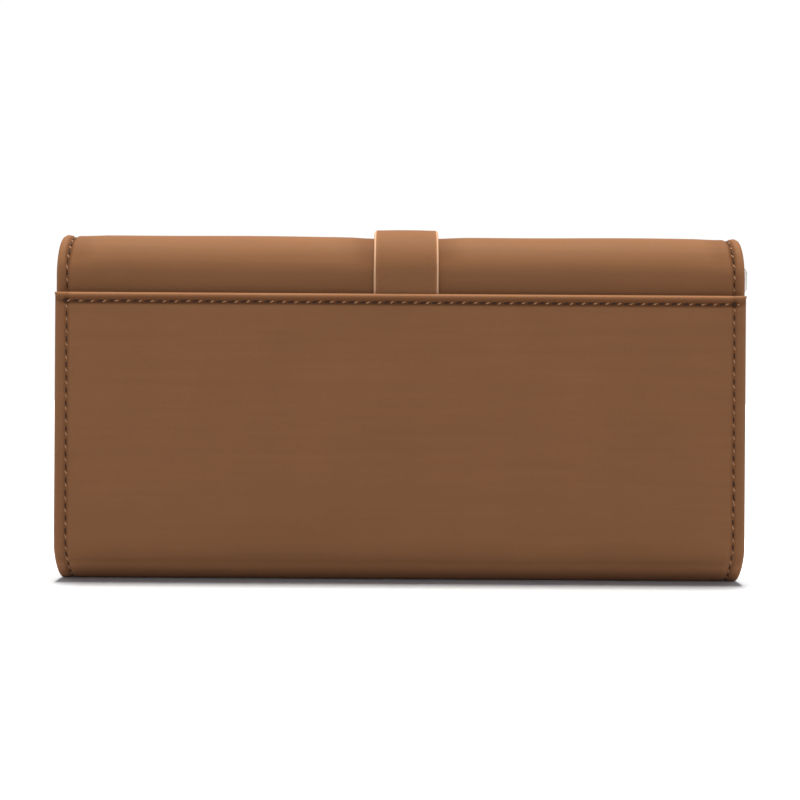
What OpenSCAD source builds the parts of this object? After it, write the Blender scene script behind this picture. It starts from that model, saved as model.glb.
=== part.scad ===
// Long flap wallet: a soft leather body with a slip pocket on its back, a padded
// roll over the top, a flap down the front and a strap that runs round the roll
// and presses onto a snap. Origin at the middle of the base, +Z up, back at -Y.

/* [Overall] */
// Width of the outer panel, whose side edges stand just proud of the flap
wrap_w = 190.4; // [186:0.2:196]
// Width of the back panel, the roll and the flap
flap_w = 190.8; // [184:0.2:194]
// Distance from the origin plane to the outer face of the slip pocket
back_depth = 14; // [13.6:0.1:15]
// Height of the slip pocket's top edge
pocket_top = 79.6; // [70:0.2:82]
// Height of the front wall
front_top = 66; // [50:1:70]
// Height of the flap's lower edge when closed
flap_bottom = 30; // [28:1:36]
// Radius of the flap's lower corners
flap_corner_r = 10; // [6:1:16]

/* [Roll] */
// Height of the roll's axis
roll_z = 84.4; // [83:0.2:88]
// Distance of the roll's axis in front of the origin plane
roll_y = 1.6; // [1.4:0.1:2]
// Outer radius of the leather in the roll
roll_r = 12.4; // [12.2:0.1:12.6]
// Angle of the roll, from its back or front tangent line, that stays with the flat panel
roll_lip = 10; // [6:1:14]

/* [Base] */
// Radius of the rounded back of the base
base_back_r = 15; // [13:0.5:16]
// Radius of the rounded front of the base
base_front_r = 7; // [5:0.5:8]
// How far the soft base is flattened where it stands
base_flat = 0.8; // [0.4:0.1:1.2]

/* [Materials] */
// Thickness of the leather
leather_t = 1.2; // [1:0.1:1.3]
// Thickness of the stiffening board and of the foam in the roll
board_t = 0.6; // [0.4:0.1:0.6]
// Thickness of the lining
lining_t = 0.5; // [0.3:0.1:0.5]

/* [Strap] */
// Width of the strap
strap_w = 18; // [14:0.5:20]
// Sideways offset of the strap from the wallet's middle
strap_x = 1.5; // [-4:0.5:4]
// Thickness of the strap
strap_t = 1.6; // [1.4:0.1:1.6]
// Clearance between the strap and the roll
strap_gap = 0.3; // [0.3:0.1:0.4]
// Height of the snap's centre
snap_z = 19.5; // [18:0.5:20]

/* [Pouch and zip] */
// Height of the top of the coin pouch
pouch_top = 90; // [89.6:0.2:90.2]
// Depth of the rear banknote space
rear_space = 4.4; // [4.2:0.1:4.5]
// Depth of the coin pouch from face to face
pouch_depth = 6.2; // [6:0.1:6.4]
// Height of the zip's centre line
zip_z = 85.3; // [85.1:0.1:85.4]
// Half length of the zip chain
zip_half = 85; // [80:0.5:86]

/* [Card slots] */
// Step from one card slot's edge to the next
slot_step = 9; // [7:0.5:10]
// Width of one column of card slots
slot_w = 89; // [88:0.5:90]

/* [Hidden] */
$fn = 96;

// Amount by which cutting shapes pass the faces that they cut
eps = 1;
// Overlap of neighbouring pieces of one outline
lap = 0.5;
// Gap where a sheet ends on the curve of the base
seat_gap = 0.05;

// Radii of the layers in the roll, from the outside in
leather_in = roll_r - leather_t;
board_in = leather_in - board_t;
lining_in = board_in - lining_t;
strap_in = roll_r + strap_gap;
strap_out = strap_in + strap_t;

// Layers across the wallet, from the back to the front
back_inner_y = roll_y - lining_in;
pouch_back_y = back_inner_y + rear_space;
pouch_front_y = pouch_back_y + pouch_depth;
pouch_wall = 0.8;
front_y = 9.6;
front_leather_in = front_y - leather_t;
front_board_in = front_leather_in - lining_t;
front_inner_y = front_board_in - lining_t;

// Centres of the two rounded corners of the base
base_back_y = base_back_r - back_depth;
base_back_z = base_back_r - base_flat;
base_front_y = front_y - base_front_r;
base_front_flat = 0.4;
base_front_z = base_front_r - base_front_flat;
// Height at which the front lining meets the lining of the base
lining_join_z = 8;

// How far boards and linings stay inside the leather's edges
board_margin = 2;
lining_margin = 0.5;
front_lining_margin = 0.6;

// Pocket sides: the turned edge that closes the gap to the back panel
pocket_edge_w = 3.2;
pocket_gap_in = roll_y - roll_r;

// Pouch and gussets
pouch_w = 188;
pouch_bottom = 4;
gusset_top = 74;
gusset_outer_x = 94.4;
gusset_flange_x = 91;
gusset_apex_x = 83;
gusset_t = 0.5;

// Zip, seen from the front: a window in the pouch's front wall
window_half_h = 3.4;
window_half_w = zip_half + 2.2;
tape_t = 0.6;
tape_y = pouch_front_y - pouch_wall - tape_t;
chain_y = pouch_front_y - 1.1;
chain_depth = 2.2;
chain_half_h = 1.4;
chain_split = 0.05;
tape_half_h = 6.4;
tape_inner_h = 0.7;
tape_end_gap = 1;
stop_len = 1.4;
slider_len = 8.8;
slider_x = zip_half - slider_len;
slider_clear = 0.25;
slider_plate = 0.8;
slider_half_h = 3.1;
slider_nose_h = 2.4;
slider_taper = 3;
slider_chamfer = 1;
slider_y0 = chain_y - chain_depth / 2 - slider_clear - slider_plate;
slider_y1 = chain_y + chain_depth / 2 + slider_clear + slider_plate;

// Puller: a crossbar under the slider's arch, two arms and a tab
arch_x0 = slider_x + 2;
arch_x1 = slider_x + 8;
arch_h = 1.4;
arch_t = 0.6;
arch_w = 1;
bar_r = 0.5;
bar_x = slider_x + 5.8;
bar_y = slider_y1 + arch_h / 2;
arm_in = 1.05;
arm_out = 2.25;
tab_x0 = slider_x + 9;
tab_x1 = 99.3;
tab_half_h = 3.85;
tab_t = 1.2;
tab_corner_r = 1.8;

// Flap and card slots
flap_outer_y = roll_y + roll_r;
flap_inner_y = roll_y + lining_in;
slot_t = 0.5;
slot_first_z = flap_bottom + 10;
slot_top_z = 79;
column_gap = 1.5;

// Strap on the front: tongue from the hinge line down to the snap
tongue_top_z = 78;
tongue_in_y = roll_y + strap_in;
tongue_out_y = roll_y + strap_out;
snap_wall_y = 12.4;
anchor_bottom_z = 55;

// Snap fastener, along +Y from the inside of the front wall to the strap's face
post_flange_r = 4.5;
post_flange_t = 0.5;
post_r = 1.4;
post_hole_r = 1.45;
stud_flange_r = 5;
stud_flange_t = 0.5;
stud_neck_r = 1.9;
stud_head_r = 2.2;
stud_y1 = front_y + 2.2;
stud_head_t = 0.7;
socket_r = 5.2;
socket_y0 = front_y + 0.8;
socket_bore_r = 2.7;
socket_floor_t = 0.3;
cap_r = 5.5;
cap_h = 1.4;
cap_post_r = 1.2;
cap_hole_r = 1.25;

leather_colour = [0.52, 0.34, 0.21];
lining_colour = [0.60, 0.45, 0.31];
board_colour = [0.72, 0.66, 0.56];
tape_colour = [0.42, 0.28, 0.18];
metal_colour = [0.80, 0.80, 0.80];

// ---- helpers ----

// A point on the unit circle
function dir(a) = [cos(a), sin(a)];

// Extrudes a (y, z) section along X, centred on x
module along_x(w, x = 0) {
    translate([x - w / 2, 0, 0]) rotate([90, 0, 90]) linear_extrude(w) children();
}

// Extrudes an (x, z) outline along Y from y0 to y1
module along_y(y0, y1) {
    translate([0, y1, 0]) rotate([90, 0, 0]) linear_extrude(y1 - y0) children();
}

// Extrudes an (x, y) plan along Z from z0 to z1
module along_z(z0, z1) {
    translate([0, 0, z0]) linear_extrude(z1 - z0) children();
}

// A box from its low corner to its high corner
module box(low, high) {
    translate(low) cube(high - low);
}

// A cylinder along Y from y0 to y1
module rod_y(r, y0, y1) {
    translate([0, y0, 0]) rotate([-90, 0, 0]) cylinder(h = y1 - y0, r = r);
}

// A slice of a ring round the roll's axis, from angle a0 to a1
module roll_slice(r_in, r_out, a0, a1) {
    far = 3 * roll_r;
    mid = (a0 + a1) / 2;
    translate([roll_y, roll_z]) intersection() {
        difference() {
            circle(r = r_out);
            circle(r = r_in);
        }
        polygon([[0, 0], far * dir(a0), far * dir(mid), far * dir(a1)]);
    }
}

// The region inside the outer panel, drawn in by inset from its outer face
module body_section(inset, top) {
    intersection() {
        translate([base_back_y, base_back_z]) circle(r = base_back_r - inset);
        translate([-back_depth - eps, inset])
            square([back_depth + base_back_y + eps + lap, base_back_z - inset + lap]);
    }
    intersection() {
        translate([base_front_y, base_front_z]) circle(r = base_front_r - inset);
        translate([base_front_y - lap, inset])
            square([base_front_r + lap, base_front_z - inset + lap]);
    }
    translate([inset - back_depth, base_back_z])
        square([back_depth + base_back_y - inset + lap, top - base_back_z]);
    translate([base_back_y, inset])
        square([base_front_y - base_back_y, top - inset]);
    translate([base_front_y - lap, base_front_z])
        square([front_y - inset - base_front_y + lap, top - base_front_z]);
}

// One layer of the back: a flat sheet that ends in the first degrees of the roll
module back_layer(r_in, r_out, w) {
    along_x(w) {
        intersection() {
            translate([roll_y - r_out, 0]) square([r_out - r_in, roll_z]);
            body_section(leather_t + seat_gap, roll_z + eps);
        }
        roll_slice(r_in, r_out, 180 - roll_lip, 180);
    }
}

// The flap's outline, with its lower corners rounded, less a margin
module flap_outline(margin) {
    w = flap_w / 2 - margin;
    low = flap_bottom + margin;
    r = flap_corner_r - margin;
    translate([-w, low + r]) square([2 * w, roll_z + roll_r - low]);
    translate([r - w, low]) square([2 * (w - r), r + lap]);
    for (side = [-1, 1]) translate([side * (w - r), low + r]) circle(r = r);
}

// One layer of the flap: the last degrees of the roll and a flat sheet
module flap_layer(r_in, r_out, margin) {
    intersection() {
        along_x(flap_w) {
            translate([roll_y + r_in, 0]) square([r_out - r_in, roll_z]);
            roll_slice(r_in, r_out, 0, roll_lip);
        }
        along_y(0, flap_outer_y + eps) flap_outline(margin);
    }
}

// One layer of the moving roll between two angles
module roll_layer(r_in, r_out, a0, a1, margin) {
    along_x(flap_w - 2 * margin) roll_slice(r_in, r_out, a0, a1);
}

// One V-fold gusset between two walls, on the side given
module gusset(side, y0, y1) {
    mid = (y0 + y1) / 2;
    t = gusset_t;
    intersection() {
        along_z(0, gusset_top) on_side(side) polygon([
            [gusset_outer_x, y0], [gusset_flange_x, y0],
            [gusset_apex_x, mid - t / 2], [gusset_apex_x, mid + t / 2],
            [gusset_flange_x, y1], [gusset_outer_x, y1],
            [gusset_outer_x, y1 - t], [gusset_flange_x + t, y1 - t],
            [gusset_apex_x + 4 * t, mid], [gusset_flange_x + t, y0 + t],
            [gusset_outer_x, y0 + t]
        ]);
        along_x(wrap_w) body_section(leather_t + lining_t + seat_gap, gusset_top + eps);
    }
}

// Keeps a shape on the +X side, or mirrors it to the -X side
module on_side(side) {
    if (side > 0) children();
    else mirror([1, 0, 0]) children();
}

// ---- body ----

// Front wall, base and slip pocket in one sheet, with the pocket's turned side edges
module outer_panel() {
    color(leather_colour) difference() {
        union() {
            along_x(wrap_w) difference() {
                intersection() {
                    body_section(0, pocket_top);
                    union() {
                        translate([-back_depth - eps, 0]) square([back_depth + eps, pocket_top]);
                        translate([-lap, 0]) square([front_y + eps, front_top]);
                    }
                }
                body_section(leather_t, pocket_top + eps);
            }
            for (side = [-1, 1]) pocket_edge(side);
        }
        translate([strap_x, 0, snap_z]) rod_y(post_hole_r, 0, front_y + eps);
    }
}

module pocket_edge(side) {
    x0 = side > 0 ? wrap_w / 2 - pocket_edge_w : -wrap_w / 2;
    intersection() {
        box([x0, leather_t - back_depth - lap, 0],
            [x0 + pocket_edge_w, pocket_gap_in, pocket_top]);
        along_x(wrap_w) body_section(leather_t / 2, pocket_top);
    }
}

module back_panel() {
    color(leather_colour) back_layer(leather_in, roll_r, flap_w);
}

module back_board() {
    color(board_colour) back_layer(board_in, leather_in, flap_w - 2 * board_margin);
}

module back_lining() {
    color(lining_colour) back_layer(lining_in, board_in, flap_w - 2 * lining_margin);
}

// A flat sheet inside the front wall, with a hole for the snap's post
module front_sheet(y0, y1, margin) {
    w = wrap_w / 2 - margin;
    difference() {
        box([-w, y0, lining_join_z], [w, y1, front_top - margin]);
        translate([strap_x, 0, snap_z]) rod_y(post_hole_r, y0 - eps, y1 + eps);
    }
}

module front_board() {
    color(board_colour) front_sheet(front_board_in, front_leather_in, board_margin);
}

module front_lining() {
    color(lining_colour) front_sheet(front_inner_y, front_board_in, front_lining_margin);
}

module base_lining() {
    color(lining_colour) along_x(wrap_w - 2 * lining_margin) intersection() {
        difference() {
            body_section(leather_t, roll_z);
            body_section(leather_t + lining_t, roll_z + eps);
        }
        translate([back_inner_y, 0]) square([front_y - back_inner_y, lining_join_z]);
    }
}

module gusset_rear_left() {
    color(lining_colour) gusset(-1, back_inner_y, pouch_back_y);
}

module gusset_rear_right() {
    color(lining_colour) gusset(1, back_inner_y, pouch_back_y);
}

module gusset_front_left() {
    color(lining_colour) gusset(-1, pouch_front_y, front_inner_y);
}

module gusset_front_right() {
    color(lining_colour) gusset(1, pouch_front_y, front_inner_y);
}

// ---- coin pouch ----

module pouch_back_wall() {
    color(lining_colour) box([-pouch_w / 2, pouch_back_y, pouch_bottom],
        [pouch_w / 2, pouch_back_y + pouch_wall, pouch_top]);
}

module pouch_front_wall() {
    color(leather_colour) box([-pouch_w / 2, pouch_front_y - pouch_wall, pouch_bottom],
        [pouch_w / 2, pouch_front_y, zip_z - window_half_h]);
}

module pouch_floor() {
    color(lining_colour) box([-pouch_w / 2, pouch_back_y + pouch_wall, pouch_bottom],
        [pouch_w / 2, pouch_front_y - pouch_wall, pouch_bottom + pouch_wall]);
}

// The seam that closes one end of the pouch
module pouch_side(side) {
    on_side(side) box(
        [pouch_w / 2 - pouch_wall, pouch_back_y + pouch_wall, pouch_bottom + pouch_wall],
        [pouch_w / 2, pouch_front_y - pouch_wall, pouch_top - pouch_wall]);
}

module pouch_side_left() {
    color(lining_colour) pouch_side(-1);
}

module pouch_side_right() {
    color(lining_colour) pouch_side(1);
}

// Folded over the back wall's top, with a lip that frames the zip from above
module pouch_top_band() {
    color(leather_colour) along_x(pouch_w) {
        translate([pouch_back_y + pouch_wall, pouch_top - pouch_wall])
            square([pouch_depth - pouch_wall, pouch_wall]);
        translate([pouch_front_y - pouch_wall, zip_z + window_half_h])
            square([pouch_wall, pouch_top - zip_z - window_half_h]);
    }
}

// The leather tab that covers one end of the zip
module zip_end_tab(side) {
    on_side(side) box([window_half_w, pouch_front_y - pouch_wall, zip_z - window_half_h],
        [pouch_w / 2, pouch_front_y, zip_z + window_half_h]);
}

module zip_end_tab_left() {
    color(leather_colour) zip_end_tab(-1);
}

module zip_end_tab_right() {
    color(leather_colour) zip_end_tab(1);
}

// ---- zip ----

// One tape, below (side -1) or above (side 1) the chain, as wide as the pouch inside
module zip_tape(side) {
    w = pouch_w / 2 - tape_end_gap;
    top_limit = pouch_top - pouch_wall - zip_z;
    low = side < 0 ? -tape_half_h : tape_inner_h;
    high = side < 0 ? -tape_inner_h : top_limit;
    difference() {
        box([-w, tape_y, zip_z + low], [w, tape_y + tape_t, zip_z + high]);
        chain_room();
    }
}

// The room that the chain and its stops take out of the tapes
module chain_room() {
    w = zip_half + stop_len;
    box([-w, tape_y - eps, zip_z - chain_half_h], [w, tape_y + tape_t + eps, zip_z + chain_half_h]);
}

module zip_tape_lower() {
    color(tape_colour) zip_tape(-1);
}

module zip_tape_upper() {
    color(tape_colour) zip_tape(1);
}

// One row of the closed chain
module zip_chain(side) {
    low = side < 0 ? -chain_half_h : chain_split;
    high = side < 0 ? -chain_split : chain_half_h;
    box([-zip_half, chain_y - chain_depth / 2, zip_z + low],
        [zip_half, chain_y + chain_depth / 2, zip_z + high]);
}

module zip_chain_lower() {
    color(metal_colour) zip_chain(-1);
}

module zip_chain_upper() {
    color(metal_colour) zip_chain(1);
}

module zip_stops() {
    color(metal_colour) for (side = [-1, 1]) on_side(side)
        box([zip_half, chain_y - chain_depth / 2, zip_z - chain_half_h],
            [zip_half + stop_len, chain_y + chain_depth / 2, zip_z + chain_half_h]);
}

// The slider's outline seen from the front, wide towards the open end
module slider_outline() {
    x0 = slider_x;
    x1 = slider_x + slider_len;
    polygon([
        [x0, -slider_nose_h], [x0 + slider_taper, -slider_half_h],
        [x1 - slider_chamfer, -slider_half_h], [x1, -slider_nose_h],
        [x1, slider_nose_h], [x1 - slider_chamfer, slider_half_h],
        [x0 + slider_taper, slider_half_h], [x0, slider_nose_h]
    ]);
}

module zip_slider() {
    room_h = chain_half_h + slider_clear;
    room_d = chain_depth / 2 + slider_clear;
    color(metal_colour) translate([0, 0, zip_z]) {
        difference() {
            along_y(slider_y0, slider_y1) slider_outline();
            box([slider_x - eps, chain_y - room_d, -room_h],
                [slider_x + slider_len + eps, chain_y + room_d, room_h]);
            box([slider_x - eps, tape_y - slider_clear, -slider_half_h - eps],
                [slider_x + slider_len + eps, tape_y + tape_t + slider_clear, slider_half_h + eps]);
        }
        slider_arch();
    }
}

// The arch on the slider's face that holds the puller's crossbar
module slider_arch() {
    top = slider_y1 + arch_h + arch_t;
    along_z(-arch_w / 2, arch_w / 2) difference() {
        translate([arch_x0, slider_y1 - slider_plate / 2])
            square([arch_x1 - arch_x0, top - slider_y1 + slider_plate / 2]);
        translate([arch_x0 + arch_t, slider_y1])
            square([arch_x1 - arch_x0 - 2 * arch_t, arch_h]);
    }
}

module zip_puller() {
    y0 = bar_y - bar_r;
    y1 = bar_y + bar_r;
    color(metal_colour) translate([0, 0, zip_z]) {
        translate([bar_x, bar_y, -arm_out]) cylinder(h = 2 * arm_out, r = bar_r);
        for (low = [-arm_out, arm_in])
            box([bar_x, y0, low], [tab_x0 + 1, y1, low + arm_out - arm_in]);
        along_y(bar_y - tab_t / 2, bar_y + tab_t / 2) puller_tab_outline();
    }
}

// The tab's outline: square at the arms, rounded at its free end
module puller_tab_outline() {
    translate([tab_x0, -tab_half_h])
        square([tab_x1 - tab_corner_r - tab_x0, 2 * tab_half_h]);
    translate([tab_x1 - 2 * tab_corner_r, tab_corner_r - tab_half_h])
        square([2 * tab_corner_r, 2 * (tab_half_h - tab_corner_r)]);
    for (side = [-1, 1])
        translate([tab_x1 - tab_corner_r, side * (tab_half_h - tab_corner_r)])
            circle(r = tab_corner_r);
}

// ---- snap ----

// Places a snap part on the snap's axis
module at_snap() {
    translate([strap_x, 0, snap_z]) children();
}

module snap_post() {
    color(metal_colour) at_snap() {
        rod_y(post_flange_r, front_inner_y - post_flange_t, front_inner_y);
        rod_y(post_r, front_inner_y - post_flange_t / 2, front_y);
    }
}

module snap_stud() {
    color(metal_colour) at_snap() {
        rod_y(stud_flange_r, front_y, front_y + stud_flange_t);
        rod_y(stud_neck_r, front_y + stud_flange_t / 2, stud_y1);
        rod_y(stud_head_r, stud_y1 - stud_head_t, stud_y1);
    }
}

module snap_socket() {
    color(metal_colour) at_snap() difference() {
        rod_y(socket_r, socket_y0, snap_wall_y);
        rod_y(socket_bore_r, socket_y0 - eps, snap_wall_y - socket_floor_t);
    }
}

// A shallow dome on the strap's face, with its post through the strap
module snap_cap() {
    dome_r = (cap_r * cap_r + cap_h * cap_h) / (2 * cap_h);
    face_y = snap_wall_y + strap_t;
    color(metal_colour) at_snap() {
        intersection() {
            translate([0, face_y + cap_h - dome_r, 0]) sphere(r = dome_r);
            rod_y(cap_r + eps, face_y, face_y + cap_h + eps);
        }
        rod_y(cap_post_r, snap_wall_y, face_y + cap_h / 2);
    }
}

// ---- roll ----

module roll_leather_rear() {
    color(leather_colour) roll_layer(leather_in, roll_r, 90, 180 - roll_lip, 0);
}

module roll_foam_rear() {
    color(board_colour) roll_layer(board_in, leather_in, 90, 180 - roll_lip, board_margin);
}

module roll_lining_rear() {
    color(lining_colour) roll_layer(lining_in, board_in, 90, 180 - roll_lip, lining_margin);
}

module roll_leather_front() {
    color(leather_colour) roll_layer(leather_in, roll_r, roll_lip, 90, 0);
}

module roll_foam_front() {
    color(board_colour) roll_layer(board_in, leather_in, roll_lip, 90, board_margin);
}

module roll_lining_front() {
    color(lining_colour) roll_layer(lining_in, board_in, roll_lip, 90, lining_margin);
}

// ---- flap ----

module flap_leather() {
    color(leather_colour) flap_layer(leather_in, roll_r, 0);
}

module flap_board() {
    color(board_colour) flap_layer(board_in, leather_in, board_margin);
}

module flap_lining() {
    color(lining_colour) flap_layer(lining_in, board_in, lining_margin);
}

// One card slot panel; each covers all but a strip of the one below it
module card_slot(side, tier) {
    y1 = flap_inner_y - (tier - 1) * slot_t;
    on_side(side) box([column_gap, y1 - slot_t, slot_first_z + (tier - 1) * slot_step],
        [column_gap + slot_w, y1, slot_top_z]);
}

module card_slot_left_1() {
    color(leather_colour) card_slot(-1, 1);
}

module card_slot_left_2() {
    color(leather_colour) card_slot(-1, 2);
}

module card_slot_left_3() {
    color(leather_colour) card_slot(-1, 3);
}

module card_slot_right_1() {
    color(leather_colour) card_slot(1, 1);
}

module card_slot_right_2() {
    color(leather_colour) card_slot(1, 2);
}

module card_slot_right_3() {
    color(leather_colour) card_slot(1, 3);
}

// ---- strap ----

// A length of the strap round the roll between two angles
module strap_slice(a0, a1) {
    color(leather_colour) along_x(strap_w, strap_x) roll_slice(strap_in, strap_out, a0, a1);
}

// The strap's sewn end inside the slip pocket
module strap_anchor() {
    strap_slice(180 - roll_lip, 180);
    color(leather_colour) box(
        [strap_x - strap_w / 2, roll_y - strap_out, anchor_bottom_z],
        [strap_x + strap_w / 2, roll_y - strap_in, roll_z]);
}

module strap_over_rear() {
    strap_slice(90, 180 - roll_lip);
}

module strap_over_front() {
    strap_slice(roll_lip, 90);
}

module strap_on_flap() {
    strap_slice(0, roll_lip);
    color(leather_colour) box(
        [strap_x - strap_w / 2, tongue_in_y, tongue_top_z],
        [strap_x + strap_w / 2, tongue_out_y, roll_z]);
}

// The free end: it steps down past the flap's edge and ends in a half round tip
module strap_tongue() {
    tip_r = strap_w / 2;
    step_z = flap_bottom - 0.5;
    step_drop = 4;
    color(leather_colour) difference() {
        intersection() {
            along_x(strap_w, strap_x) polygon([
                [tongue_in_y, tongue_top_z], [tongue_out_y, tongue_top_z],
                [tongue_out_y, step_z - 0.3], [snap_wall_y + strap_t, step_z - step_drop - 0.3],
                [snap_wall_y + strap_t, snap_z - tip_r], [snap_wall_y, snap_z - tip_r],
                [snap_wall_y, step_z - step_drop], [tongue_in_y, step_z]
            ]);
            along_y(0, tongue_out_y + eps) translate([strap_x, snap_z]) {
                circle(r = tip_r);
                translate([-tip_r, 0]) square([strap_w, tongue_top_z]);
            }
        }
        at_snap() rod_y(cap_hole_r, snap_wall_y - eps, snap_wall_y + strap_t + eps);
    }
}

outer_panel();
back_panel();
back_board();
back_lining();
front_board();
front_lining();
base_lining();
gusset_rear_left();
gusset_rear_right();
gusset_front_left();
gusset_front_right();
pouch_back_wall();
pouch_front_wall();
pouch_floor();
pouch_side_left();
pouch_side_right();
pouch_top_band();
zip_end_tab_left();
zip_end_tab_right();
zip_tape_lower();
zip_tape_upper();
zip_chain_lower();
zip_chain_upper();
zip_stops();
zip_slider();
zip_puller();
snap_post();
snap_stud();
snap_socket();
snap_cap();
roll_leather_rear();
roll_foam_rear();
roll_lining_rear();
roll_leather_front();
roll_foam_front();
roll_lining_front();
flap_leather();
flap_board();
flap_lining();
card_slot_left_1();
card_slot_left_2();
card_slot_left_3();
card_slot_right_1();
card_slot_right_2();
card_slot_right_3();
strap_anchor();
strap_over_rear();
strap_over_front();
strap_on_flap();
strap_tongue();
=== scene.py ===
import math

import bmesh
import bpy
import numpy as np
from mathutils import Matrix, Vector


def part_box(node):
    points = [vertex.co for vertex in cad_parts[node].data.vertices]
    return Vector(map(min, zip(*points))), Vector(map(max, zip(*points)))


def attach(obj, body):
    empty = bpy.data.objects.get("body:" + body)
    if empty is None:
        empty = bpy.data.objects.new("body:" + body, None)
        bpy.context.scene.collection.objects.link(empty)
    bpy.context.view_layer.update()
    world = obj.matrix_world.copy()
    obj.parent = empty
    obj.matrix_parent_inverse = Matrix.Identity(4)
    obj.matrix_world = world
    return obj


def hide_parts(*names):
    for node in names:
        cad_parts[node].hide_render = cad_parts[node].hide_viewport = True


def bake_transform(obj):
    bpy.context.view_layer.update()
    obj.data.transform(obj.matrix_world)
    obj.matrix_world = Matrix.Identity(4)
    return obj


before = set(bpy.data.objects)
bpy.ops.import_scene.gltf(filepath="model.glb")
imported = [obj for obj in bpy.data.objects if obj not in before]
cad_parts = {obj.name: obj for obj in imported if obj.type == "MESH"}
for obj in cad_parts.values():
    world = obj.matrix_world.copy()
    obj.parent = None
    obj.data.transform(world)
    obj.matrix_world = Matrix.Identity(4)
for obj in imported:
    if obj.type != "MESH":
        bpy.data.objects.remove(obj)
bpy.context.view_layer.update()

MM = 0.001


def box_mm(node):
    """Lowest and highest corner of a CAD node in millimetres."""
    low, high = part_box(node)
    return np.array(low) / MM, np.array(high) / MM


# ---- sizes, read from the frame ----

PANEL_LOW, PANEL_HIGH = box_mm("outer_panel")
BACK_LOW = box_mm("back_panel")[0]
FLAP_LOW, FLAP_HIGH = box_mm("flap_leather")
ROLL_TOP = box_mm("roll_leather_front")[1][2]
ROLL_R = (FLAP_HIGH[1] - BACK_LOW[1]) / 2
ROLL_Y = (FLAP_HIGH[1] + BACK_LOW[1]) / 2
ROLL_Z = ROLL_TOP - ROLL_R
PANEL_HALF = (PANEL_HIGH[0] - PANEL_LOW[0]) / 2
FLAP_HALF = (FLAP_HIGH[0] - FLAP_LOW[0]) / 2
POCKET_TOP = PANEL_HIGH[2]
FRONT_TOP = box_mm("front_lining")[1][2] + 0.6
FLAP_BOTTOM = FLAP_LOW[2]
LEATHER = 1.2
BOARD = 0.6
LINING = 0.5
BASE_BACK_R, BASE_FLAT = 15.0, 0.8
BASE_FRONT_R, BASE_FRONT_FLAT = 7.0, 0.4
FLAP_CORNER = 10.0
BACK_BOTTOM = 7.0

STRAP_LOW, STRAP_HIGH = box_mm("strap_tongue")
STRAP_X = (STRAP_LOW[0] + STRAP_HIGH[0]) / 2
STRAP_HALF = (STRAP_HIGH[0] - STRAP_LOW[0]) / 2
STRAP_T = 1.6
STRAP_R = box_mm("strap_over_front")[1][2] - ROLL_Z
SNAP_LOW, SNAP_HIGH = box_mm("snap_cap")
SNAP_Z = (SNAP_LOW[2] + SNAP_HIGH[2]) / 2

STITCH_INSET = 3.4
SHELL_INSET = 2.9
STITCH_PITCH = 3.5
FINE_PITCH = 2.8
HEM_INSET = 2.4
LINING_INSET = 1.0
CORE_INSET = 2.5
TOOTH_PITCH = 1.25
BEVEL = 0.16
FLANGE = 3.4                    # width of a gusset's glued edge
FOLD_LOW, FOLD_HIGH = 82, 91    # heights between which the folds at the two sides bend
FOLD_HALF = 4.6                 # half of the length over which the top fold bends
LIFT_LOW, LIFT_HIGH = 71, 81    # heights between which the tongue bends
REAR_CUT, FRONT_CUT = 130, 50   # angles of the roll at which shell and strap are cut
BOARD_END = 10                  # angle above the horizontal at which the boards end


def fit(obj, slot, body, *nodes):
    """Hangs a piece on the body that it rides on and hides the nodes that it replaces. slot is not
    used.
    """
    if nodes:
        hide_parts(*nodes)
    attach(obj, body)


# ---- outlines in the (y, z) plane ----

def line(a, b, step=1.0):
    """Points along a straight stretch."""
    a, b = np.array(a, float), np.array(b, float)
    n = max(2, int(np.linalg.norm(b - a) / step) + 1)
    return a + (b - a) * np.linspace(0, 1, n)[:, None]


def arc(centre, r, a0, a1, step=1.5):
    """Points along an arc, with angles in degrees from +y towards +z."""
    n = max(2, int(abs(a1 - a0) / step) + 1)
    a = np.radians(np.linspace(a0, a1, n))
    return np.array(centre) + r * np.stack([np.cos(a), np.sin(a)], 1)


def ease(a, b, n=24):
    """Points from a to b that start and end straight along z."""
    t = np.linspace(0, 1, n)
    w = t * t * (3 - 2 * t)
    return np.stack([a[0] + (b[0] - a[0]) * w, a[1] + (b[1] - a[1]) * t], 1)


def smooth(t):
    """Smooth step from 0 to 1."""
    t = np.clip(t, 0, 1)
    return t * t * (3 - 2 * t)


def profile(d, knots):
    """A smooth curve through (distance, height) knots, flat past the ends."""
    d = np.asarray(d, float)
    out = np.full(d.shape, float(knots[0][1]))
    for (d0, h0), (d1, h1) in zip(knots, knots[1:]):
        out = np.where(d >= d0, h0 + (h1 - h0) * smooth((d - d0) / (d1 - d0)), out)
    return out


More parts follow.
